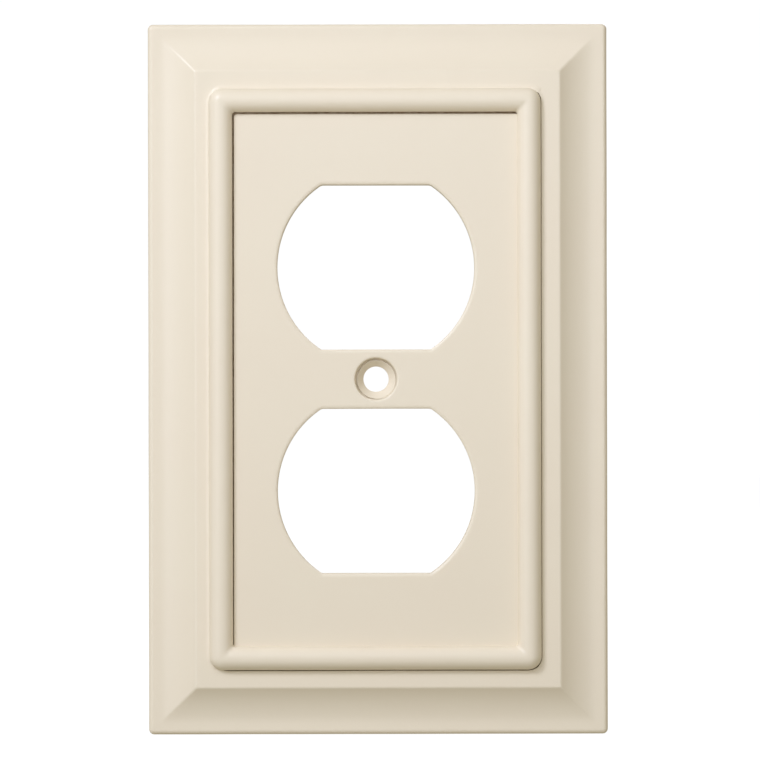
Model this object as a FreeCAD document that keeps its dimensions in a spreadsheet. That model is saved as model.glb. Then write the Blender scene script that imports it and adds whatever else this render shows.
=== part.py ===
import FreeCAD, Part
import math
import os

import Sketcher

# Wall plate for one duplex receptacle, built up like a small picture frame: a flat centre panel lies in the
# rabbet of four mitred lengths of cove moulding, and four mitred half-round strips (the bead) are planted
# over the joint between moulding and panel.
#
# Frame: the plate stands upright. +Z is up, +X is to the right as seen from the room, and the front faces
# -Y. The origin is the centre of the screw hole where it opens at the back of the panel, so the wall lies
# behind it, at y = face_depth - panel_thickness. All lengths are in millimetres.

DIMENSIONS = (
    # outer moulding
    ("plate_width", 80.0, "outer width of the frame"),
    ("plate_height", 123.8, "outer height of the frame"),
    ("moulding_shift", 0.3, "how far the frame sits to the right of the screw hole"),
    ("moulding_width", 13.0, "outer edge of a moulding to the side of the panel"),
    ("face_depth", 6.5, "wall to the flat band and to the face of the panel"),
    ("cove_rise", 2.6, "height of the cove, from the outer strip to the ridge"),
    ("cove_start", 2.5, "outer edge to the foot of the cove"),
    ("cove_radius", 13.0, "radius of the hollow of the cove"),
    ("ridge_inset", 8.3, "outer edge to the ridge at the top of the cove"),
    ("edge_radius", 0.8, "round-over along the front of the outer edge"),
    ("corner_radius", 0.9, "outer corners of the frame, seen from the front"),
    ("land_width", 8.0, "width of the rim that bears on the wall"),
    ("relief_depth", 2.0, "clearance behind the plate for the strap of the receptacle"),
    ("lip_width", 2.5, "lip of the moulding that carries the edge of the panel"),
    # bead
    ("bead_outer_width", 57.7, "width over the outer feet of the bead"),
    ("bead_outer_height", 101.0, "height over the outer feet of the bead"),
    ("bead_radius", 2.05, "radius of the half-round"),
    ("bead_shift", -0.15, "how far the bead sits to the right of the screw hole"),
    # centre panel
    ("panel_thickness", 3.2, "thickness of the panel"),
    ("opening_spacing", 38.9, "centre to centre of the two openings"),
    ("opening_radius", 17.15, "round sides of an opening"),
    ("opening_height", 28.6, "flat to flat of an opening"),
    ("upper_corner_radius", 1.2, "corners at the top of an opening"),
    ("lower_corner_radius", 0.5, "corners at the bottom of an opening"),
    ("opening_edge_radius", 0.7, "round-over along the front edge of an opening"),
    # screw hole
    ("screw_bore_radius", 2.2, "straight part of the screw hole"),
    ("sink_outer_radius", 3.7, "countersink at the face of the panel"),
    ("sink_lip_radius", 3.4, "countersink at the foot of its steep lip"),
    ("sink_lip_depth", 0.6, "depth of the steep lip"),
    ("sink_cone_depth", 1.3, "depth of the cone below the lip"),
)

HALF_TURN = 180.0
QUARTER_TURN = 90.0
MITRE_ANGLE = 45.0
PARALLEL = 0.999
NEAR = 0.01

# The four sides of a rectangular frame: name, turn about Y that brings the top strip there, and which half
# of the width and of the height its outer edge lies at.
SIDES = (
    ("top", 0.0, 0, 1),
    ("bottom", HALF_TURN, 0, -1),
    ("left", -QUARTER_TURN, -1, 0),
    ("right", QUARTER_TURN, 1, 0),
)


class Size:
    """A length together with the expression on the sheet that drives it."""

    def __init__(self, value, text):
        self.value = value
        self.text = text

    def __add__(self, other):
        other = as_size(other)
        return Size(self.value + other.value, f"({self.text} + {other.text})")

    def __sub__(self, other):
        other = as_size(other)
        return Size(self.value - other.value, f"({self.text} - {other.text})")

    def __mul__(self, other):
        other = as_size(other)
        return Size(self.value * other.value, f"({self.text} * {other.text})")

    def __truediv__(self, other):
        other = as_size(other)
        return Size(self.value / other.value, f"({self.text} / {other.text})")

    def __neg__(self):
        return Size(-self.value, f"(0 - {self.text})")


def as_size(number):
    """A plain number as a Size, so that the two can be mixed in arithmetic."""
    if isinstance(number, Size):
        return number
    return Size(float(number), f"({float(number)})")


def root(size):
    """Square root of a Size."""
    return Size(math.sqrt(size.value), f"sqrt({size.text})")


doc = FreeCAD.newDocument("duplex_wall_plate")
sheet = doc.addObject("Spreadsheet::Sheet", "dims")
size = {}
for row, (alias, value, meaning) in enumerate(DIMENSIONS, start=1):
    sheet.set(f"A{row}", meaning)
    sheet.set(f"B{row}", str(value))
    sheet.setAlias(f"B{row}", alias)
    size[alias] = Size(value, f"dims.{alias}")
doc.recompute()


def bind(thing, name, value):
    """Drives a property by the sheet."""
    thing.setExpression(name, as_size(value).text)


def new_body(label, turn=0.0, x=0, z=0):
    """An empty body, turned about Y, with its local origin at (x, z) in the plane of the wall."""
    body = doc.addObject("PartDesign::Body", label)
    body.Label = label
    body.Placement = FreeCAD.Placement(FreeCAD.Vector(), FreeCAD.Rotation(FreeCAD.Vector(0, 1, 0), turn))
    bind(body, "Placement.Base.x", x)
    bind(body, "Placement.Base.y", size["face_depth"] - size["panel_thickness"])
    bind(body, "Placement.Base.z", z)
    return body


def new_sketch(body, plane, name):
    """A sketch on one of the body's own origin planes: YZ_Plane reads (y, z), XZ_Plane reads (x, z)."""
    sketch = body.newObject("Sketcher::SketchObject", name)
    support = [item for item in body.Origin.OriginFeatures if item.Role == plane][0]
    sketch.AttachmentSupport = (support, [""])
    sketch.MapMode = "FlatFace"
    return sketch


def pin(sketch, edge, end, point):
    """Holds one end of an edge at a point whose coordinates are driven by the sheet."""
    for kind, coordinate in zip(("DistanceX", "DistanceY"), point):
        coordinate = as_size(coordinate)
        number = sketch.addConstraint(Sketcher.Constraint(kind, -1, 1, edge, end, coordinate.value))
        sketch.setExpression(f"Constraints[{number}]", coordinate.text)


def arc_through(start, end, bend):
    """Arc of radius |bend| from start to end; a positive bend swells to the right of the way it goes."""
    chord = end - start
    radius = abs(bend)
    middle = (start + end) * 0.5
    right = FreeCAD.Vector(chord.y, -chord.x, 0).normalize()
    height = math.sqrt(radius ** 2 - (chord.Length / 2) ** 2)
    side = right if bend > 0 else -right
    top = middle + side * (radius - height)
    return Part.Arc(start, top, end)


def outline(sketch, corners):
    """Closed outline. Each corner is (x, y) or (x, y, bend): with a bend, an arc of that radius leads on."""
    flat = [FreeCAD.Vector(as_size(corner[0]).value, as_size(corner[1]).value, 0) for corner in corners]
    edges = []
    for place, corner in enumerate(corners):
        start = flat[place]
        end = flat[(place + 1) % len(flat)]
        if len(corner) == 3:
            shape = arc_through(start, end, as_size(corner[2]).value)
        else:
            shape = Part.LineSegment(start, end)
        edges.append(sketch.addGeometry(shape, False))
    ends = [first_and_last(sketch, edge, flat[place]) for place, edge in enumerate(edges)]
    for place, corner in enumerate(corners):
        pin(sketch, edges[place], ends[place][0], corner)
        follower = (place + 1) % len(corners)
        sketch.addConstraint(Sketcher.Constraint(
            "Coincident", edges[place], ends[place][1], edges[follower], ends[follower][0]))
        if len(corner) == 3:
            radius = as_size(corner[2]) if as_size(corner[2]).value > 0 else -as_size(corner[2])
            number = sketch.addConstraint(Sketcher.Constraint("Radius", edges[place], radius.value))
            sketch.setExpression(f"Constraints[{number}]", radius.text)


def first_and_last(sketch, edge, start):
    """Which end of an edge lies at start: arcs are stored anticlockwise, whichever way they are drawn."""
    if (sketch.getPoint(edge, 1) - start).Length < NEAR:
        return 1, 2
    return 2, 1


def pad(body, sketch, length, both_ways):
    """Raises a sketch by a length, out of its plane or half to each side of it."""
    feature = body.newObject("PartDesign::Pad", sketch.Name + "_pad")
    feature.Profile = (sketch, [""])
    feature.SideType = "Symmetric" if both_ways else "One side"
    bind(feature, "Length", length)
    doc.recompute()
    return feature


def pocket(body, sketch):
    """Cuts a sketch right through the body, to both sides of its plane."""
    before = body.Shape.Volume
    feature = body.newObject("PartDesign::Pocket", sketch.Name + "_cut")
    feature.Profile = (sketch, [""])
    feature.Type = "ThroughAll"
    feature.SideType = "Symmetric"
    doc.recompute()
    if not body.Shape.Volume < before - NEAR:
        raise RuntimeError(f"{body.Label}: {sketch.Name} removed nothing")
    return feature


def round_edges(body, base, name, radius, chosen):
    """Fillet on those edges of a feature that the function chosen picks."""
    names = [f"Edge{number}" for number, edge in enumerate(base.Shape.Edges, start=1) if chosen(edge)]
    feature = body.newObject("PartDesign::Fillet", name)
    feature.Base = (base, names)
    bind(feature, "Radius", radius)
    doc.recompute()
    return feature


def moulding(side, turn, across, up):
    """One mitred length of cove moulding, drawn with its outer edge along the local X axis."""
    width = size["plate_width"]
    height = size["plate_height"]
    length = width if up else height
    body = new_body(
        f"outer_moulding_{side}",
        turn,
        size["moulding_shift"] + width / 2 * across,
        height / 2 * up,
    )

    face = -size["face_depth"]
    strip = face + size["cove_rise"]
    panel_back = face + size["panel_thickness"]
    relief = -size["relief_depth"]
    edge = size["edge_radius"]
    inner = -size["moulding_width"]
    lip = inner - size["lip_width"]
    section = new_sketch(body, "YZ_Plane", f"section_{side}")
    outline(section, [
        (0, 0),
        (strip + edge, 0, edge),
        (strip, -edge),
        (strip, -size["cove_start"], -size["cove_radius"]),
        (face, -size["ridge_inset"]),
        (face, inner),
        (panel_back, inner),
        (panel_back, lip),
        (relief, lip),
        (relief, -size["land_width"]),
        (0, -size["land_width"]),
    ])
    pad(body, section, length, both_ways=True)

    # Both ends are cut along the mitre, which starts on the rounded outer corner of the frame.
    end = length / 2
    corner = size["corner_radius"]
    corner_point = corner * (1 - math.cos(math.radians(MITRE_ANGLE)))
    reach = -lip + corner
    for name, hand in (("east", 1), ("west", -1)):
        mitre = new_sketch(body, "XZ_Plane", f"mitre_{name}_{side}")
        outline(mitre, [
            ((end - corner) * hand, 0, -corner * hand),
            ((end - corner_point) * hand, -corner_point),
            ((end - reach) * hand, -reach),
            ((end + corner) * hand, -reach),
            ((end + corner) * hand, corner),
            ((end - corner) * hand, corner),
        ])
        pocket(body, mitre)
    return body


def bead(side, turn, across, up):
    """One mitred half-round strip, drawn with its outer foot along the local X axis."""
    width = size["bead_outer_width"]
    height = size["bead_outer_height"]
    radius = size["bead_radius"]
    crown_length = (width if up else height) - radius * 2
    body = new_body(
        f"bead_{side}",
        turn,
        size["bead_shift"] + width / 2 * across,
        height / 2 * up,
    )

    face = -size["face_depth"]
    crown = face - radius
    section = new_sketch(body, "YZ_Plane", f"half_round_{side}")
    outline(section, [
        (face, 0, radius),
        (crown, -radius, radius),
        (face, -radius * 2),
    ])
    pad(body, section, crown_length, both_ways=True)

    # Inside the crown line the strip is cut along the mitre.
    end = crown_length / 2
    for name, hand in (("east", 1), ("west", -1)):
        mitre = new_sketch(body, "XZ_Plane", f"inner_mitre_{name}_{side}")
        outline(mitre, [
            (end * hand, -radius),
            (end * hand, -radius * 3),
            ((end - radius * 2) * hand, -radius * 3),
        ])
        pocket(body, mitre)

    # Outside it the half-round turns the corner: an eighth of a ball about the end of the crown line.
    quarter = new_sketch(body, "YZ_Plane", f"corner_{side}")
    bind(quarter, "AttachmentOffset.Base.z", end)
    outline(quarter, [
        (face, 0, radius),
        (crown, -radius),
        (face, -radius),
    ])
    axis = quarter.addGeometry(Part.LineSegment(
        FreeCAD.Vector(face.value, -radius.value, 0), FreeCAD.Vector(crown.value, -radius.value, 0)), True)
    pin(quarter, axis, 1, (face, -radius))
    pin(quarter, axis, 2, (crown, -radius))
    before = body.Shape.Volume
    turned = body.newObject("PartDesign::Revolution", f"corner_turn_{side}")
    turned.Profile = (quarter, [""])
    turned.ReferenceAxis = (quarter, ["Axis0"])
    turned.Angle = MITRE_ANGLE
    doc.recompute()
    if turned.Shape.BoundBox.XMax < end.value + NEAR:
        turned.Reversed = True
        doc.recompute()
    mirrored = body.newObject("PartDesign::Mirrored", f"corner_mirror_{side}")
    mirrored.Originals = [turned]
    plane = [item for item in body.Origin.OriginFeatures if item.Role == "YZ_Plane"][0]
    mirrored.MirrorPlane = (plane, [""])
    body.Tip = mirrored
    doc.recompute()
    if not body.Shape.Volume > before + NEAR:
        raise RuntimeError(f"{body.Label}: its corners added nothing")
    return body


def centre_panel():
    """The flat panel with both openings and the screw hole."""
    body = new_body("centre_panel")
    face = -size["face_depth"]
    half_width = size["plate_width"] / 2 - size["moulding_width"]
    half_height = size["plate_height"] / 2 - size["moulding_width"]
    shift = size["moulding_shift"]

    board = new_sketch(body, "XZ_Plane", "board")
    bind(board, "AttachmentOffset.Base.z", size["face_depth"] - size["panel_thickness"])
    outline(board, [
        (shift - half_width, -half_height),
        (shift + half_width, -half_height),
        (shift + half_width, half_height),
        (shift - half_width, half_height),
    ])
    pad(body, board, size["panel_thickness"], both_ways=False)

    # An opening is a circle with its top and bottom cut flat.
    radius = size["opening_radius"]
    flat = size["opening_height"] / 2
    half_chord = root(radius * radius - flat * flat)
    for name, hand in (("upper", 1), ("lower", -1)):
        centre = size["opening_spacing"] / 2 * hand
        hole = new_sketch(body, "XZ_Plane", f"opening_{name}")
        outline(hole, [
            (-half_chord, centre - flat),
            (half_chord, centre - flat, radius),
            (half_chord, centre + flat),
            (-half_chord, centre + flat, radius),
        ])
        last = pocket(body, hole)

    # The corners where a flat meets the circle are eased, more at the top than at the bottom.
    for name, level in (("upper", 1), ("lower", -1)):
        heights = [(size["opening_spacing"] / 2 * hand + flat * level).value for hand in (1, -1)]

        def at_a_corner(edge):
            if not isinstance(edge.Curve, Part.Line) or abs(edge.Curve.Direction.y) < PARALLEL:
                return False
            middle = edge.CenterOfMass
            return (abs(abs(middle.x) - half_chord.value) < NEAR
                    and min(abs(middle.z - height) for height in heights) < NEAR)

        last = round_edges(body, last, f"{name}_corners", size[f"{name}_corner_radius"], at_a_corner)

    def along_the_front(edge):
        box = edge.BoundBox
        inside = abs(edge.CenterOfMass.x - shift.value) < half_width.value - NEAR
        on_face = abs(box.YMin - face.value) < NEAR and abs(box.YMax - face.value) < NEAR
        return inside and on_face and abs(edge.CenterOfMass.z) < half_height.value - NEAR

    round_edges(body, last, "opening_edges", size["opening_edge_radius"], along_the_front)

    # The screw hole is turned about its own axis: steep lip, cone, straight bore.
    lip_level = face + size["sink_lip_depth"]
    cone_level = lip_level + size["sink_cone_depth"]
    back = face + size["panel_thickness"]
    bore = size["screw_bore_radius"]
    hole = new_sketch(body, "YZ_Plane", "screw_hole")
    outline(hole, [
        (face, 0),
        (face, size["sink_outer_radius"]),
        (lip_level, size["sink_lip_radius"]),
        (cone_level, bore),
        (back, bore),
        (back, 0),
    ])
    before = body.Shape.Volume
    turned = body.newObject("PartDesign::Groove", "screw_hole_cut")
    turned.Profile = (hole, [""])
    turned.ReferenceAxis = (hole, ["H_Axis"])
    turned.Angle = 2 * HALF_TURN
    doc.recompute()
    if not body.Shape.Volume < before - NEAR:
        raise RuntimeError("the screw hole removed nothing")
    return body


bodies = [centre_panel()]
for build in (moulding, bead):
    for side, turn, across, up in SIDES:
        bodies.append(build(side, turn, across, up))
doc.recompute()

for item in doc.Objects:
    if "Invalid" in item.State or "Error" in item.State:
        raise RuntimeError(f"{item.Label} failed: {item.State}")
for body in bodies:
    if body.Shape.isNull() or not body.Shape.isValid() or len(body.Shape.Solids) != 1:
        raise RuntimeError(f"{body.Label} is not one valid solid")

os.makedirs("parts", exist_ok=True)
for body in bodies:
    body.Shape.exportStep(f"parts/{body.Label}.step")
    box = body.Shape.BoundBox
    print(f"{body.Label}: {body.Shape.Volume:.1f} mm3, x {box.XMin:.2f}..{box.XMax:.2f}, "
          f"y {box.YMin:.2f}..{box.YMax:.2f}, z {box.ZMin:.2f}..{box.ZMax:.2f}")
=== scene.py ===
import math

import bmesh
import bpy
import numpy as np
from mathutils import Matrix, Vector, geometry, noise


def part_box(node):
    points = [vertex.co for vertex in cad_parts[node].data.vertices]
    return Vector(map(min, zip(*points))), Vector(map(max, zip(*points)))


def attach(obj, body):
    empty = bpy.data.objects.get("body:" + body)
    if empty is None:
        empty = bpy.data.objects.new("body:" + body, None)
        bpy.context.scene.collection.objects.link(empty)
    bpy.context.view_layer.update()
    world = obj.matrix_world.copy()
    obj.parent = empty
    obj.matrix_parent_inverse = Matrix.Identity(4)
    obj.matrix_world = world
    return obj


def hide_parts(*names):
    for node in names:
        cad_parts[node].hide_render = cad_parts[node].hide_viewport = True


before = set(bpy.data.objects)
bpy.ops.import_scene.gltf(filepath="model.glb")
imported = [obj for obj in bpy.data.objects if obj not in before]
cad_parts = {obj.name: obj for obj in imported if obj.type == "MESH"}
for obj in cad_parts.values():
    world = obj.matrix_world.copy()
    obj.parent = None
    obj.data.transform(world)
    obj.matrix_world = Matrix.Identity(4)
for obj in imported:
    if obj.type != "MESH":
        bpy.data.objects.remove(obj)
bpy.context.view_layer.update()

# A painted wall plate for a duplex receptacle: four mitred lengths of cove moulding, four mitred half-round
# strips (the bead) and a flat centre panel. Each CAD node is replaced by a piece of the same place and size
# whose edges, corners and joints are softened the way spray paint and sanding soften them.
#
# Lengths below are in millimetres, and meshes are made in metres. A moulding or a bead is drawn as a section
# whose points say how far they lie inside the outer edge of the frame (inset) and how far they stand in
# front of the wall (depth). The section is then carried round one side of the frame, from mitre to mitre.

MM = 0.001
SIDES = ("top", "bottom", "left", "right")

# Cove moulding
COVE_RISE = 2.6
COVE_START = 2.5
COVE_RADIUS = 13.0
RIDGE_INSET = 8.3
STRIP_EDGE_RADIUS = 0.8
LAND_WIDTH = 8.0
RELIEF_DEPTH = 2.0
PLATE_CORNER_RADIUS = 0.9
HIP_RADIUS = 0.35
KNEE_SOFTENING = 1.3
RIDGE_SOFTENING = 0.4
BACK_CHAMFER = 0.25
BACK_SEAM = 0.05

# The ridge of the left and top mouldings is sanded to a narrow flat.
ARRIS_REACHES = {"left": 0.2, "top": 0.2}
ARRIS_SLOPE = 0.27

# Paint gathered against the outer foot of the bead, and the corners of that line. The bead sits off centre,
# so each side needs a corner of its own to follow it.
FILLET_REACH = 0.5
FILLET_RISE = 0.14
FILLET_CURVE = 1.3
FOOT_CORNERS = {"left": 3.7, "right": 2.1, "top": 1.35, "bottom": 2.75}

# Bead
BEAD_SINK = 0.05
CROWN_CORNER = 0.35
VALLEY_RADIUS = 0.55

# Hairline joints outside the bead, in the moulding, and inside it, in the panel. A negative width puts the
# edge of the panel's face under the bead.
OUTER_JOINTS = {"right": 0.08, "bottom": 0.14}
INNER_JOINTS = {"left": 0.3, "right": -0.3, "bottom": -0.3, "top": 0.34}
JOINT_DEPTH = 0.7
JOINT_EDGE = 0.04
JOINT_TAPER = 0.17
JOINT_FLOOR_REACH = 1.0

# Openings and screw hole of the panel
OPENING_SPACING = 38.9
OPENING_RADIUS = 17.15
OPENING_HEIGHT = 28.6
UPPER_CORNER_RADIUS = 1.2
LOWER_CORNER_RADIUS = 0.5
OPENING_EDGE_REACH = 0.7
OPENING_EDGE_DROP = 0.3
OPENING_MARGIN = 0.2
PANEL_EDGE_RADIUS = 0.1
SCREW_BORE_RADIUS = 2.2
SINK_OUTER_RADIUS = 3.7
SINK_LIP_RADIUS = 3.5
SINK_LIP_DEPTH = 0.6
SINK_CONE_DEPTH = 1.3
SINK_EDGE_RADIUS = 0.12
SINK_STEP_WIDTH = 0.15
SINK_STEP_DEPTH = 0.5
SINK_STEP_OFFSET = (0.105, -0.105)
SINK_SHOULDER_REACH = 0.4
SINK_SHOULDER_DROP = 0.16
SINK_SHOULDER_TURN = 65

# Hand-finished unevenness: how far the surface wanders, over what length, and which pattern it takes
WANDER = 0.025
WANDER_LENGTH = 14.0
WANDER_SEED = 5

# How finely the shapes are drawn
MESH_SPACING = 1.6
RIM_SPACING = 2.0
SHEET_CLEARANCE = 0.45
SHEET_TOLERANCE = 1e-5
WELD_DISTANCE = 0.0005
SHARP_ANGLE = math.radians(32)
RIM_POINTS = 5
STRIP_EDGE_STEPS = 10
COVE_POINTS = 40
RIDGE_POINTS = 22
BAND_DIVISIONS = 7
BAND_PARTS = (0.4, 0.7)
FILLET_POINTS = 9
CROWN_STEPS = 56
SOFTENING_SAMPLES = 41
MITRE_POINTS = 7
CORNER_STEP = 15
OPENING_SIDE_POINTS = 26
OPENING_CORNER_POINTS = 7
OPENING_FLAT_POINTS = 8
OPENING_EDGE_POINTS = 13
CIRCLE_POINTS = 72
SHOULDER_POINTS = 9
EASED_POINTS = 5
EASED_SHARE = 2.2


# ---------------------------------------------------------------------------------------------- measures

def node_box(name):
    """Lowest and highest corner of a CAD node, in millimetres."""
    low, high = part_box(name)
    return np.array(low) / MM, np.array(high) / MM


def frame_outline(boxes):
    """Outer edge of the four sides of a frame. A rectangle is (low x, high x, low z, high z)."""
    return (boxes["left"][0][0], boxes["right"][1][0], boxes["bottom"][0][2], boxes["top"][1][2])


moulding_boxes = {side: node_box(f"outer_moulding_{side}") for side in SIDES}
bead_boxes = {side: node_box(f"bead_{side}") for side in SIDES}
moulding_low, moulding_high = moulding_boxes["left"]
panel_low, panel_high = node_box("centre_panel")

WALL_Y = moulding_high[1]
FACE_DEPTH = WALL_Y - panel_low[1]
PANEL_BACK_DEPTH = WALL_Y - panel_high[1]
STRIP_DEPTH = FACE_DEPTH - COVE_RISE
MOULDING_WIDTH = panel_low[0] - moulding_low[0]
LIP_INSET = moulding_high[0] - moulding_low[0]
BEAD_RADIUS = panel_low[1] - bead_boxes["left"][0][1]
PLATE = frame_outline(moulding_boxes)
BEAD = frame_outline(bead_boxes)
BEAD_INSETS = {
    "left": BEAD[0] - PLATE[0],
    "right": PLATE[1] - BEAD[1],
    "bottom": BEAD[2] - PLATE[2],
    "top": PLATE[3] - BEAD[3],
}


# ---------------------------------------------------------------------------------------------- sections

def arc(centre, radius, start, end, steps):
    """Points on an arc in the (inset, depth) plane; angles in degrees from +inset towards +depth."""
    angles = np.radians(np.linspace(start, end, steps + 1))
    return [(centre[0] + radius * math.cos(a), centre[1] + radius * math.sin(a)) for a in angles]


def cove_depth(inset, arris):
    """Depth of the sharp front of the moulding: flat strip, hollow, sanded ridge, flat band."""
    rise, run = COVE_RISE, RIDGE_INSET - COVE_START
    chord = math.hypot(run, rise)
    sag = math.sqrt(COVE_RADIUS ** 2 - (chord / 2) ** 2)
    centre_inset = COVE_START + run / 2 - sag * rise / chord
    centre_depth = STRIP_DEPTH + rise / 2 + sag * run / chord
    within = np.clip(inset, COVE_START, RIDGE_INSET)
    hollow = centre_depth - np.sqrt(COVE_RADIUS ** 2 - (within - centre_inset) ** 2)
    depth = np.where(inset < COVE_START, STRIP_DEPTH, np.where(inset > RIDGE_INSET, FACE_DEPTH, hollow))
    return np.minimum(depth, FACE_DEPTH - ARRIS_SLOPE * np.clip(RIDGE_INSET + arris - inset, 0, None))


def softened(profile, inset, reach):
    """A profile averaged over its neighbourhood, as paint and sanding round its corners."""
    offsets = np.linspace(-1, 1, SOFTENING_SAMPLES)
    weights = np.cos(offsets * math.pi / 2) ** 2
    samples = profile(inset[:, None] + offsets[None, :] * reach[:, None])
    return samples @ weights / weights.sum()


def moulding_section(side):
    """Closed section of the cove moulding: (inset, depth, plan corner radius, gap at the mitre, painted)."""
    section = []

    def add(inset, depth, corner=HIP_RADIUS, seam=0.0, painted=True):
        section.append((inset, depth, corner, seam, painted))

    add(0.0, BACK_CHAMFER, PLATE_CORNER_RADIUS)
    for depth in np.linspace(BACK_CHAMFER, STRIP_DEPTH - STRIP_EDGE_RADIUS, RIM_POINTS)[1:-1]:
        add(0.0, depth, PLATE_CORNER_RADIUS)
    edge_centre = (STRIP_EDGE_RADIUS, STRIP_DEPTH - STRIP_EDGE_RADIUS)
    for inset, depth in arc(edge_centre, STRIP_EDGE_RADIUS, 180, 90, STRIP_EDGE_STEPS):
        add(inset, depth, max(PLATE_CORNER_RADIUS - inset, HIP_RADIUS))

    ridge_start = RIDGE_INSET - 2 * RIDGE_SOFTENING
    ridge_end = RIDGE_INSET + 1.5 * RIDGE_SOFTENING
    front = np.concatenate([
        np.linspace(STRIP_EDGE_RADIUS, ridge_start, COVE_POINTS)[1:],
        np.linspace(ridge_start, ridge_end, RIDGE_POINTS)[1:],
        [ridge_end + (MOULDING_WIDTH - ridge_end) / BAND_DIVISIONS],
    ])
    arris = ARRIS_REACHES.get(side, 0)
    reach = np.interp(front, [COVE_START + KNEE_SOFTENING, RIDGE_INSET - RIDGE_SOFTENING],
                      [KNEE_SOFTENING, RIDGE_SOFTENING - arris])
    for inset, depth in zip(front, softened(lambda points: cove_depth(points, arris), front, reach)):
        add(inset, depth)

    foot = BEAD_INSETS[side]
    foot_corner = FOOT_CORNERS[side]
    joint = OUTER_JOINTS.get(side, 0)
    lip = foot - joint
    start = lip - JOINT_EDGE - FILLET_REACH
    for part in BAND_PARTS:
        corner = HIP_RADIUS + (foot_corner - HIP_RADIUS) * part
        add(front[-1] + (start - front[-1]) * part, FACE_DEPTH, corner)
    for part in np.linspace(0, 1, FILLET_POINTS):
        corner = foot_corner + FILLET_REACH * (1 - part)
        add(start + FILLET_REACH * part, FACE_DEPTH + FILLET_RISE * part ** FILLET_CURVE, corner)
    if joint:
        add(lip, FACE_DEPTH + FILLET_RISE - JOINT_EDGE, foot_corner)
        add(lip, FACE_DEPTH - JOINT_DEPTH, foot_corner, painted=False)
        add(foot + BEAD_RADIUS / 2, FACE_DEPTH - JOINT_DEPTH, foot_corner / 2, painted=False)
        add(MOULDING_WIDTH, FACE_DEPTH - JOINT_DEPTH, painted=False)
    else:
        add(foot + BEAD_RADIUS / 2, FACE_DEPTH + FILLET_RISE, foot_corner / 2)
        add(MOULDING_WIDTH, FACE_DEPTH)

    add(MOULDING_WIDTH, PANEL_BACK_DEPTH, painted=False)
    back = [(LIP_INSET - BACK_CHAMFER, PANEL_BACK_DEPTH),
            (LIP_INSET, PANEL_BACK_DEPTH - BACK_CHAMFER),
            (LIP_INSET, RELIEF_DEPTH + BACK_CHAMFER),
            (LIP_INSET - BACK_CHAMFER, RELIEF_DEPTH),
            (LAND_WIDTH, RELIEF_DEPTH),
            (LAND_WIDTH, BACK_CHAMFER),
            (LAND_WIDTH - BACK_CHAMFER, 0.0)]
    for inset, depth in back:
        add(inset, depth, seam=BACK_SEAM, painted=False)
    add(BACK_CHAMFER, 0.0, PLATE_CORNER_RADIUS - BACK_CHAMFER, BACK_SEAM, painted=False)
    return section


def bead_section():
    """Closed section of the half-round bead, sunk a little into the faces it sits on."""
    outline = [(-BEAD_RADIUS, -BEAD_SINK)]
    outline += arc((0, 0), BEAD_RADIUS, 180, 0, CROWN_STEPS)
    outline += [(BEAD_RADIUS, -BEAD_SINK)]
    section = []
    for across, height in outline:
        corner = max(CROWN_CORNER - across, VALLEY_RADIUS)
        section.append((BEAD_RADIUS + across, FACE_DEPTH + height, corner, 0.0, True))
    return section


# ------------------------------------------------------------------------------------------------ meshes

noise.seed_set(WANDER_SEED)


def wander(point):
    """How far a hand-finished surface strays at a point, the same for every piece that shares the point."""
    shift = noise.noise_vector(Vector(point) / WANDER_LENGTH, noise_basis="PERLIN_NEW")
    return np.array(shift) * WANDER


def placed(x, y, z, painted):
    """A point of a surface; painted surfaces stray a little."""
    point = np.array([x, y, z])
    return point + wander(point) if painted else point


def make_object(name, vertices, faces, materials, face_materials):
    """A mesh object from points in millimetres, smooth except along real edges."""
    mesh = bpy.data.meshes.new(name)
    mesh.from_pydata([Vector(v) * MM for v in vertices], [], faces)
    for material in materials:
        mesh.materials.append(material)
    mesh.polygons.foreach_set("material_index", face_materials)
    work = bmesh.new()
    work.from_mesh(mesh)
    bmesh.ops.recalc_face_normals(work, faces=work.faces)
    work.to_mesh(mesh)
    work.free()
    mesh.shade_smooth()
    mesh.set_sharp_from_angle(angle=SHARP_ANGLE)
    mesh.update()
    piece = bpy.data.objects.new(name, mesh)
    bpy.context.scene.collection.objects.link(piece)
    return piece


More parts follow.
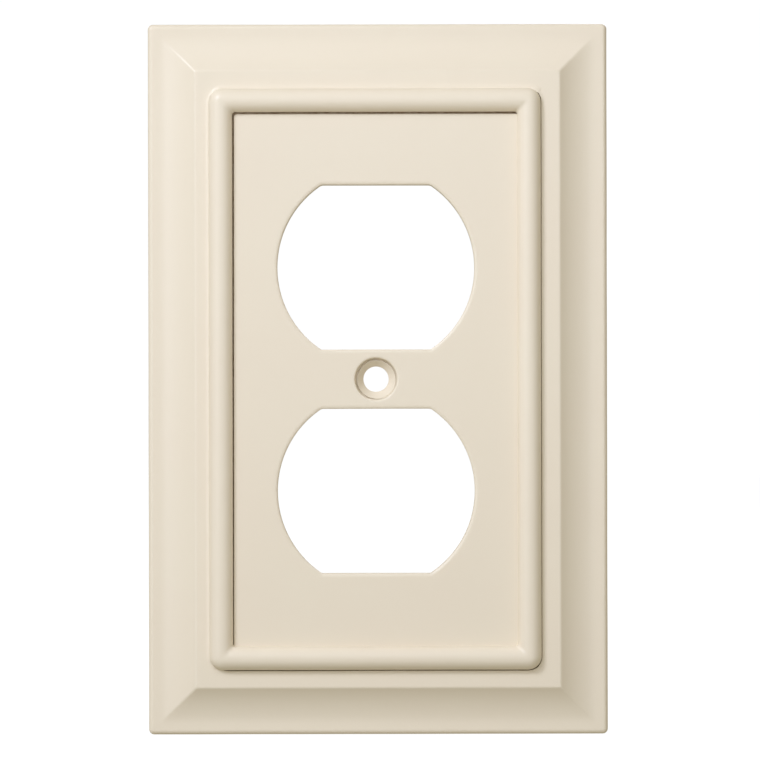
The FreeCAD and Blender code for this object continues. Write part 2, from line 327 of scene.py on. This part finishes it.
def strip(name, side, rectangle, section, materials):
    """Carries a closed section along one side of a rectangle, from mitre to mitre."""
    low_x, high_x, low_z, high_z = rectangle
    centre = ((low_x + high_x) / 2, (low_z + high_z) / 2)
    half_x, half_z = (high_x - low_x) / 2, (high_z - low_z) / 2
    along, out = {
        "top": ((1, 0), (0, 1)),
        "bottom": ((-1, 0), (0, -1)),
        "left": ((0, 1), (-1, 0)),
        "right": ((0, -1), (1, 0)),
    }[side]
    half_length, half_height = (half_x, half_z) if out[1] else (half_z, half_x)
    turns = np.radians(np.linspace(45, 0, MITRE_POINTS))
    run = np.linspace(-1, 1, 2 * round(half_length / MESH_SPACING) + 1)

    vertices = []
    for inset, depth, corner, seam, painted in section:
        straight = half_length - inset - corner
        level = half_height - inset - corner
        row = [(-straight - corner * math.sin(t), level + corner * math.cos(t)) for t in turns]
        row += [(straight * t, level + corner) for t in run[1:-1]]
        row += [(straight + corner * math.sin(t), level + corner * math.cos(t)) for t in turns[::-1]]
        row[0] = (row[0][0] + seam, row[0][1])
        row[-1] = (row[-1][0] - seam, row[-1][1])
        for a, o in row:
            x = centre[0] + along[0] * a + out[0] * o
            z = centre[1] + along[1] * a + out[1] * o
            vertices.append(placed(x, WALL_Y - depth, z, painted))

    count = len(row)
    faces, face_materials = [], []
    for i in range(len(section)):
        following = (i + 1) % len(section)
        painted = section[i][4] and section[following][4]
        for j in range(count - 1):
            faces.append((i * count + j, i * count + j + 1, following * count + j + 1, following * count + j))
            face_materials.append(0 if painted else 1)
    for end in (0, count - 1):
        faces.append(tuple(i * count + end for i in range(len(section))))
        face_materials.append(1)
    return make_object(name, vertices, faces, materials, face_materials)


def opening_ring(centre_z, grow):
    """Outline of an opening grown outwards by a distance, anticlockwise from the right, as (x, z) points."""
    flat = OPENING_HEIGHT / 2 + grow
    radius = OPENING_RADIUS + grow
    quarter = []
    for level, corner in ((1, UPPER_CORNER_RADIUS), (-1, LOWER_CORNER_RADIUS)):
        small = corner + grow
        across = math.sqrt((radius - small) ** 2 - (flat - small) ** 2)
        lean = math.atan2(flat - small, across)
        side = [(radius * math.cos(a), radius * math.sin(a))
                for a in np.linspace(0, lean, OPENING_SIDE_POINTS)[:-1]]
        bend = [(across + small * math.cos(a), flat - small + small * math.sin(a))
                for a in np.linspace(lean, math.pi / 2, OPENING_CORNER_POINTS)]
        top = [(across * t, flat) for t in np.linspace(1, 0, OPENING_FLAT_POINTS)[1:-1]]
        quarter.append([(x, z * level) for x, z in side + bend + top])
    upper, lower = quarter
    ring = upper + [(0.0, flat)] + [(-x, z) for x, z in upper[::-1]]
    ring += [(-x, z) for x, z in lower[1:]] + [(0.0, -flat)] + lower[:0:-1]
    return [(x, z + centre_z) for x, z in ring]


def circle_ring(radius, centre=(0.0, 0.0)):
    """A circle about the screw hole's axis, or a little off it, as (x, z) points."""
    angles = np.linspace(0, 2 * math.pi, CIRCLE_POINTS, endpoint=False)
    return [(centre[0] + radius * math.cos(a), centre[1] + radius * math.sin(a)) for a in angles]


def rounded_rectangle(rectangle, inset, corner):
    """A rectangle with rounded corners, as (x, z) points a few millimetres apart."""
    low_x, high_x, low_z, high_z = rectangle
    width, height = high_x - low_x, high_z - low_z
    across, up = round(width / RIM_SPACING), round(height / RIM_SPACING)
    low = (low_x + inset + corner, low_z + inset + corner)
    high = (high_x - inset - corner, high_z - inset - corner)
    ring = []
    for turn, start, end, steps in ((-90, (low[0], low[1]), (high[0], low[1]), across),
                                    (0, (high[0], low[1]), (high[0], high[1]), up),
                                    (90, (high[0], high[1]), (low[0], high[1]), across),
                                    (180, (low[0], high[1]), (low[0], low[1]), up)):
        out = (math.cos(math.radians(turn)) * corner, math.sin(math.radians(turn)) * corner)
        ring += [(start[0] + (end[0] - start[0]) * t / steps + out[0],
                  start[1] + (end[1] - start[1]) * t / steps + out[1]) for t in range(steps + 1)]
        ring += [(end[0] + corner * math.cos(math.radians(turn + bend)),
                  end[1] + corner * math.sin(math.radians(turn + bend)))
                 for bend in range(CORNER_STEP, 90, CORNER_STEP)]
    return ring


def eased_corner(before, corner, after, reach):
    """Points that round one corner of an open path with a small curve."""
    before, corner, after = (np.array(p, float) for p in (before, corner, after))
    into, out = before - corner, after - corner
    reach = min(reach, np.linalg.norm(into) / EASED_SHARE, np.linalg.norm(out) / EASED_SHARE)
    start = corner + into / np.linalg.norm(into) * reach
    end = corner + out / np.linalg.norm(out) * reach
    return [tuple((1 - t) ** 2 * start + 2 * t * (1 - t) * corner + t ** 2 * end)
            for t in np.linspace(0, 1, EASED_POINTS)]


def inside(points, ring):
    """Tells which points lie inside a closed outline."""
    x, z = points[:, :1], points[:, 1:]
    x1, z1 = ring.T
    x2, z2 = np.roll(ring, -1, axis=0).T
    rise = np.where(z2 == z1, 1.0, z2 - z1)
    crossed = ((z1 > z) != (z2 > z)) & (x < (x2 - x1) * (z - z1) / rise + x1)
    return crossed.sum(axis=1) % 2 == 1


def flat_sheet(outer, holes):
    """Triangles that fill an outline round its holes, on a grid fine enough to hold a slight unevenness."""
    rings = [np.array(ring) for ring in [outer] + holes]
    borders = np.concatenate(rings)
    edges = []
    first = 0
    for ring in rings:
        count = len(ring)
        edges += [(first + i, first + (i + 1) % count) for i in range(count)]
        first += count

    def filled(points):
        keep = inside(points, rings[0])
        for hole in rings[1:]:
            keep &= ~inside(points, hole)
        return keep

    low, high = borders.min(axis=0), borders.max(axis=0)
    step = MESH_SPACING
    xs = np.arange(low[0] + step, high[0] - step / 2, step)
    zs = np.arange(low[1] + step, high[1] - step / 2, step)
    grid = np.array([(x + (row % 2) * step / 2, z) for row, z in enumerate(zs) for x in xs])
    apart = np.linalg.norm(grid[:, None, :] - borders[None, :, :], axis=2).min(axis=1)
    grid = grid[(apart > step * SHEET_CLEARANCE) & filled(grid)]
    points = [Vector(p) for p in np.concatenate([borders, grid])]
    found = geometry.delaunay_2d_cdt(points, edges, [], 0, SHEET_TOLERANCE)
    corners = np.array([tuple(p) for p in found[0]])
    triangles = np.array(found[2])
    triangles = triangles[filled(corners[triangles].mean(axis=1))]
    return corners, triangles


def centre_panel(materials):
    """The flat panel: a front and a back sheet, joined through each hole and round the rim."""
    face_y, back_y = panel_low[1], panel_high[1]
    vertices, faces, face_materials = [], [], []

    def add_sheet(outer, holes, y, painted):
        corners, triangles = flat_sheet(outer, holes)
        first = len(vertices)
        for x, z in corners:
            vertices.append(placed(x, y, z, painted))
        for triangle in triangles:
            faces.append(tuple(int(first + i) for i in triangle))
            face_materials.append(0 if painted else 1)

    def add_wall(rings):
        """Joins a stack of outlines (ring, y, painted) of equal length, first to last."""
        first = len(vertices)
        count = len(rings[0][0])
        for ring, y, painted in rings:
            for x, z in ring:
                vertices.append(placed(x, y, z, painted))
        for i in range(len(rings) - 1):
            for j in range(count):
                following = (j + 1) % count
                faces.append((first + i * count + j, first + i * count + following,
                              first + (i + 1) * count + following, first + (i + 1) * count + j))
                face_materials.append(0 if rings[i][2] else 1)

    def opening_wall(centre_z):
        """Softened front edge, straight wall, small chamfer at the back."""
        reach, drop = OPENING_EDGE_REACH, OPENING_EDGE_DROP
        rings = [(opening_ring(centre_z, reach + OPENING_MARGIN), face_y, True)]
        for turn in np.radians(np.linspace(0, 90, OPENING_EDGE_POINTS)):
            grow = reach - reach * math.sin(turn)
            rings.append((opening_ring(centre_z, grow), face_y + drop - drop * math.cos(turn), True))
        rings.append((opening_ring(centre_z, 0), back_y - BACK_CHAMFER, True))
        rings.append((opening_ring(centre_z, BACK_CHAMFER), back_y, False))
        return rings

    def screw_wall():
        """Rolled shoulder, steep lip, a hairline step where cone and lip were cut off centre, cone, bore."""
        shoulder_y = face_y + SINK_SHOULDER_DROP
        lip_y = face_y + SINK_LIP_DEPTH
        step_y = lip_y + SINK_STEP_DEPTH
        cone_y = lip_y + SINK_CONE_DEPTH
        cone_radius = SINK_LIP_RADIUS - SINK_STEP_WIDTH
        rings = []
        for turn in np.radians(np.linspace(0, SINK_SHOULDER_TURN, SHOULDER_POINTS)):
            radius = SINK_OUTER_RADIUS + SINK_SHOULDER_REACH * (1 - math.sin(turn))
            rings.append((circle_ring(radius), face_y + SINK_SHOULDER_DROP * (1 - math.cos(turn)), True))
        before = (radius, rings[-1][1])
        for radius, y in eased_corner(before, (SINK_OUTER_RADIUS, shoulder_y), (SINK_LIP_RADIUS, lip_y),
                                      SINK_EDGE_RADIUS):
            rings.append((circle_ring(radius), y, True))
        rings += [(circle_ring(SINK_LIP_RADIUS), lip_y, True),
                  (circle_ring(SINK_LIP_RADIUS), step_y, True),
                  (circle_ring(cone_radius, SINK_STEP_OFFSET), step_y, True),
                  (circle_ring(cone_radius, SINK_STEP_OFFSET), lip_y + JOINT_EDGE, True),
                  (circle_ring(cone_radius - JOINT_EDGE, SINK_STEP_OFFSET), lip_y, True)]
        for radius, y in eased_corner((cone_radius, lip_y), (SCREW_BORE_RADIUS, cone_y),
                                      (SCREW_BORE_RADIUS, back_y), SINK_EDGE_RADIUS):
            rings.append((circle_ring(radius), y, True))
        rings += [(circle_ring(SCREW_BORE_RADIUS), back_y - BACK_CHAMFER, False),
                  (circle_ring(SCREW_BORE_RADIUS + BACK_CHAMFER), back_y, False)]
        return rings

    foot = 2 * BEAD_RADIUS
    face_edge = (BEAD[0] + foot + INNER_JOINTS["left"], BEAD[1] - foot - INNER_JOINTS["right"],
                 BEAD[2] + foot + INNER_JOINTS["bottom"], BEAD[3] - foot - INNER_JOINTS["top"])
    panel_edge = (panel_low[0], panel_high[0], panel_low[2], panel_high[2])

    def face_ring(inset):
        """Edge of the face. The joint on the left closes towards the bottom."""
        middle, height = (face_edge[0] + face_edge[1]) / 2, face_edge[3] - face_edge[2]
        return [(x - JOINT_TAPER * (face_edge[3] - z) / height if x < middle else x, z)
                for x, z in rounded_rectangle(face_edge, inset, VALLEY_RADIUS)]

    def panel_ring(inset):
        return rounded_rectangle(panel_edge, inset, PANEL_EDGE_RADIUS)

    joint_y = face_y + JOINT_DEPTH
    rim = [(face_ring(JOINT_EDGE), face_y, True),
           (face_ring(0), face_y + JOINT_EDGE, False),
           (face_ring(0), joint_y, False),
           (face_ring(-JOINT_FLOOR_REACH), joint_y, False),
           (panel_ring(PANEL_EDGE_RADIUS), joint_y, False),
           (panel_ring(0), joint_y + PANEL_EDGE_RADIUS, False),
           (panel_ring(0), back_y - PANEL_EDGE_RADIUS, False),
           (panel_ring(PANEL_EDGE_RADIUS), back_y, False)]
    openings = [opening_wall(OPENING_SPACING / 2), opening_wall(-OPENING_SPACING / 2)]
    screw = screw_wall()
    for wall in openings + [screw, rim]:
        add_wall(wall)
    add_sheet(rim[0][0], [wall[0][0] for wall in openings + [screw]], face_y, True)
    add_sheet(rim[-1][0], [wall[-1][0] for wall in openings + [screw]], back_y, False)
    piece = make_object("centre_panel_finished", vertices, faces, materials, face_materials)
    work = bmesh.new()
    work.from_mesh(piece.data)
    bmesh.ops.remove_doubles(work, verts=work.verts, dist=WELD_DISTANCE * MM)
    bmesh.ops.recalc_face_normals(work, faces=work.faces)
    work.to_mesh(piece.data)
    work.free()
    piece.data.set_sharp_from_angle(angle=SHARP_ANGLE)
    return piece


# --------------------------------------------------------------------------------------------- materials

# Satin paint: colours are linear, heights in metres, noise scales in features per metre
PAINT_DEEP = (0.838, 0.731, 0.568)
PAINT_PALE = (0.842, 0.742, 0.576)
PAINT_ROUGHNESS = (0.35, 0.42)
PAINT_IOR = 1.46
CLOUD_SCALE = 55
CLOUD_SPAN = (0.3, 0.7)
PEEL_SCALE = 1900
PEEL_HEIGHT = 0.00001
PEEL_STRENGTH = 0.35
SWELL_SCALE = 420
SWELL_HEIGHT = 0.00004
SWELL_STRENGTH = 0.5

# Bare fibreboard
BOARD_COLOURS = [(0.3, (0.34, 0.23, 0.13)), (0.5, (0.47, 0.34, 0.21)), (0.72, (0.58, 0.44, 0.29))]
BOARD_ROUGHNESS = 0.9
FIBRE_SCALE = 1400
FIBRE_HEIGHT = 0.00006
FIBRE_STRENGTH = 0.6


def node_tree(name):
    """A new material, its node tree and its Principled shader."""
    material = bpy.data.materials.new(name)
    material.use_nodes = True
    tree = material.node_tree
    shader = tree.nodes["Principled BSDF"]
    return material, tree, shader


def noise_node(tree, coordinates, scale, detail, roughness=0.5):
    """Fractal noise between 0 and 1."""
    node = tree.nodes.new("ShaderNodeTexNoise")
    node.inputs["Scale"].default_value = scale
    node.inputs["Detail"].default_value = detail
    node.inputs["Roughness"].default_value = roughness
    tree.links.new(coordinates, node.inputs["Vector"])
    return node.outputs["Fac"]


def ramp_node(tree, factor, stops):
    """A colour ramp through (position, colour) stops."""
    node = tree.nodes.new("ShaderNodeValToRGB")
    tree.links.new(factor, node.inputs["Fac"])
    elements = node.color_ramp.elements
    while len(elements) < len(stops):
        elements.new(0.5)
    for element, (position, colour) in zip(elements, stops):
        element.position = position
        element.color = (*colour, 1)
    return node.outputs["Color"]


def range_node(tree, value, low, high):
    """Maps a factor of 0 to 1 onto a range."""
    node = tree.nodes.new("ShaderNodeMapRange")
    node.inputs["To Min"].default_value = low
    node.inputs["To Max"].default_value = high
    tree.links.new(value, node.inputs["Value"])
    return node.outputs["Result"]


def bump_node(tree, height, distance, strength, normal=None):
    """Bump of a stated height in metres."""
    node = tree.nodes.new("ShaderNodeBump")
    node.inputs["Strength"].default_value = strength
    node.inputs["Distance"].default_value = distance
    tree.links.new(height, node.inputs["Height"])
    if normal is not None:
        tree.links.new(normal, node.inputs["Normal"])
    return node.outputs["Normal"]


def satin_paint():
    """Sprayed light-almond paint: faint cloudiness, fine orange peel, slightly uneven sheen."""
    material, tree, shader = node_tree("satin_almond_paint")
    where = tree.nodes.new("ShaderNodeTexCoord").outputs["Object"]
    clouds = noise_node(tree, where, CLOUD_SCALE, detail=3)
    colour = ramp_node(tree, clouds, [(CLOUD_SPAN[0], PAINT_DEEP), (CLOUD_SPAN[1], PAINT_PALE)])
    tree.links.new(colour, shader.inputs["Base Color"])
    peel = noise_node(tree, where, PEEL_SCALE, detail=2)
    swell = noise_node(tree, where, SWELL_SCALE, detail=2)
    tree.links.new(range_node(tree, swell, *PAINT_ROUGHNESS), shader.inputs["Roughness"])
    normal = bump_node(tree, swell, SWELL_HEIGHT, SWELL_STRENGTH)
    normal = bump_node(tree, peel, PEEL_HEIGHT, PEEL_STRENGTH, normal)
    tree.links.new(normal, shader.inputs["Normal"])
    shader.inputs["IOR"].default_value = PAINT_IOR
    return material


def raw_fibreboard():
    """Bare fibreboard of the back and the joints: tan, flecked with fibres."""
    material, tree, shader = node_tree("raw_fibreboard")
    where = tree.nodes.new("ShaderNodeTexCoord").outputs["Object"]
    fibres = noise_node(tree, where, FIBRE_SCALE, detail=6, roughness=0.7)
    tree.links.new(ramp_node(tree, fibres, BOARD_COLOURS), shader.inputs["Base Color"])
    tree.links.new(bump_node(tree, fibres, FIBRE_HEIGHT, FIBRE_STRENGTH), shader.inputs["Normal"])
    shader.inputs["Roughness"].default_value = BOARD_ROUGHNESS
    shader.inputs["Specular IOR Level"].default_value = 0.0
    return material


# ------------------------------------------------------------------------------------------------ pieces

paint = satin_paint()
board = raw_fibreboard()
for side in SIDES:
    moulding = strip(f"outer_moulding_{side}_finished", side, PLATE, moulding_section(side), [paint, board])
    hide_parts(f"outer_moulding_{side}")
    bead = strip(f"bead_{side}_finished", side, BEAD, bead_section(), [paint, board])
    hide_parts(f"bead_{side}")
    for piece in (moulding, bead):
        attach(piece, "root")
panel = centre_panel([paint, board])
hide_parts("centre_panel")
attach(panel, "root")


# ------------------------------------------------------------------------------------------------- stage

FLOOR_HALF = 2.0
FLOOR_GAP = 0.0002
FLOOR_GREY = (0.12, 0.12, 0.12, 1)
FLOOR_GLOW = 0.97
SEEN_STRENGTH = 1.02
AMBIENT_COLOUR = (1.05, 0.995, 0.785, 1)
AMBIENT_STRENGTH = 0.372
# Cool light from the softboxes against the warm light that the room sends back
LIGHT_COLOUR = (0.926, 1.007, 1.245)
WHITE = (1, 1, 1, 1)

plate_centre = Vector(((PLATE[0] + PLATE[1]) / 2, panel_low[1], (PLATE[2] + PLATE[3]) / 2)) * MM
plate_height = (PLATE[3] - PLATE[2]) * MM

# A white floor under the bottom edge. It shows to the camera only, so that it throws no light at the plate.
floor_mesh = bpy.data.meshes.new("floor")
floor_z = PLATE[2] * MM - FLOOR_GAP
floor_mesh.from_pydata(
    [(-FLOOR_HALF, -FLOOR_HALF, floor_z), (FLOOR_HALF, -FLOOR_HALF, floor_z),
     (FLOOR_HALF, FLOOR_HALF, floor_z), (-FLOOR_HALF, FLOOR_HALF, floor_z)],
    [], [(0, 1, 2, 3)])
floor = bpy.data.objects.new("floor", floor_mesh)
bpy.context.scene.collection.objects.link(floor)
floor_material, _, floor_shader = node_tree("pale_floor")
floor_shader.inputs["Base Color"].default_value = FLOOR_GREY
floor_shader.inputs["Roughness"].default_value = 1.0
floor_shader.inputs["Specular IOR Level"].default_value = 0.0
floor_shader.inputs["Emission Color"].default_value = WHITE
floor_shader.inputs["Emission Strength"].default_value = FLOOR_GLOW
floor_mesh.materials.append(floor_material)
floor.visible_diffuse = False
floor.visible_glossy = False

# White surroundings for the camera, softer light for everything else
world = bpy.data.worlds.new("studio")
bpy.context.scene.world = world
world.use_nodes = True
sky = world.node_tree
sky.nodes.clear()
seen = sky.nodes.new("ShaderNodeBackground")
seen.inputs["Color"].default_value = WHITE
seen.inputs["Strength"].default_value = SEEN_STRENGTH
ambient = sky.nodes.new("ShaderNodeBackground")
ambient.inputs["Color"].default_value = AMBIENT_COLOUR
ambient.inputs["Strength"].default_value = AMBIENT_STRENGTH
paths = sky.nodes.new("ShaderNodeLightPath")
choose = sky.nodes.new("ShaderNodeMixShader")
surroundings = sky.nodes.new("ShaderNodeOutputWorld")
sky.links.new(paths.outputs["Is Camera Ray"], choose.inputs["Fac"])
sky.links.new(ambient.outputs["Background"], choose.inputs[1])
sky.links.new(seen.outputs["Background"], choose.inputs[2])
sky.links.new(choose.outputs["Shader"], surroundings.inputs["Surface"])


def softbox(name, azimuth, elevation, power, distance=0.9, size=0.216):
    """A square soft light aimed at the plate. Azimuth turns to the right, elevation upwards, in degrees."""
    light = bpy.data.lights.new(name, "AREA")
    light.shape = "SQUARE"
    light.size = size
    light.energy = power
    light.color = LIGHT_COLOUR
    holder = bpy.data.objects.new(name, light)
    a, e = math.radians(azimuth), math.radians(elevation)
    towards = Vector((math.sin(a) * math.cos(e), -math.cos(a) * math.cos(e), math.sin(e)))
    holder.location = plate_centre + towards * distance
    holder.rotation_mode = "QUATERNION"
    holder.rotation_quaternion = towards.to_track_quat("Z", "Y")
    holder.visible_camera = False
    bpy.context.scene.collection.objects.link(holder)
    return holder


softbox("key", azimuth=-40.4, elevation=32.9, power=3.46)
softbox("top", azimuth=-31.0, elevation=40.6, power=0.59)
softbox("left", azimuth=-31.5, elevation=3.3, power=0.70)
softbox("right", azimuth=24.2, elevation=0.0, power=0.55)
front = softbox("front", azimuth=0.0, elevation=21.8, power=0.052, distance=0.18, size=0.072)
front.visible_glossy = False
softbox("back", azimuth=160.0, elevation=30.0, power=5.0, distance=1.2, size=0.5)

# Long lens, straight on, with the plate filling the height of a square picture
LENS = 200.0
SENSOR_WIDTH = 36.0
PICTURE_MARGIN = 1.0662
AIM_OFFSET = Vector((0.39, 0, -0.15)) * MM
CAMERA_ROLL = 0.12
CLIP_END = 10.0

camera_data = bpy.data.cameras.new("camera")
camera_data.lens = LENS
camera_data.sensor_width = SENSOR_WIDTH
camera_data.clip_end = CLIP_END
camera = bpy.data.objects.new("camera", camera_data)
bpy.context.scene.collection.objects.link(camera)
half_view = math.atan(SENSOR_WIDTH / 2 / LENS)
distance = plate_height * PICTURE_MARGIN / 2 / math.tan(half_view)
camera.location = plate_centre + AIM_OFFSET + Vector((0, -distance, 0))
camera.rotation_euler = (math.radians(90), math.radians(CAMERA_ROLL), 0)
bpy.context.scene.camera = camera
bpy.context.scene.view_settings.view_transform = "Standard"
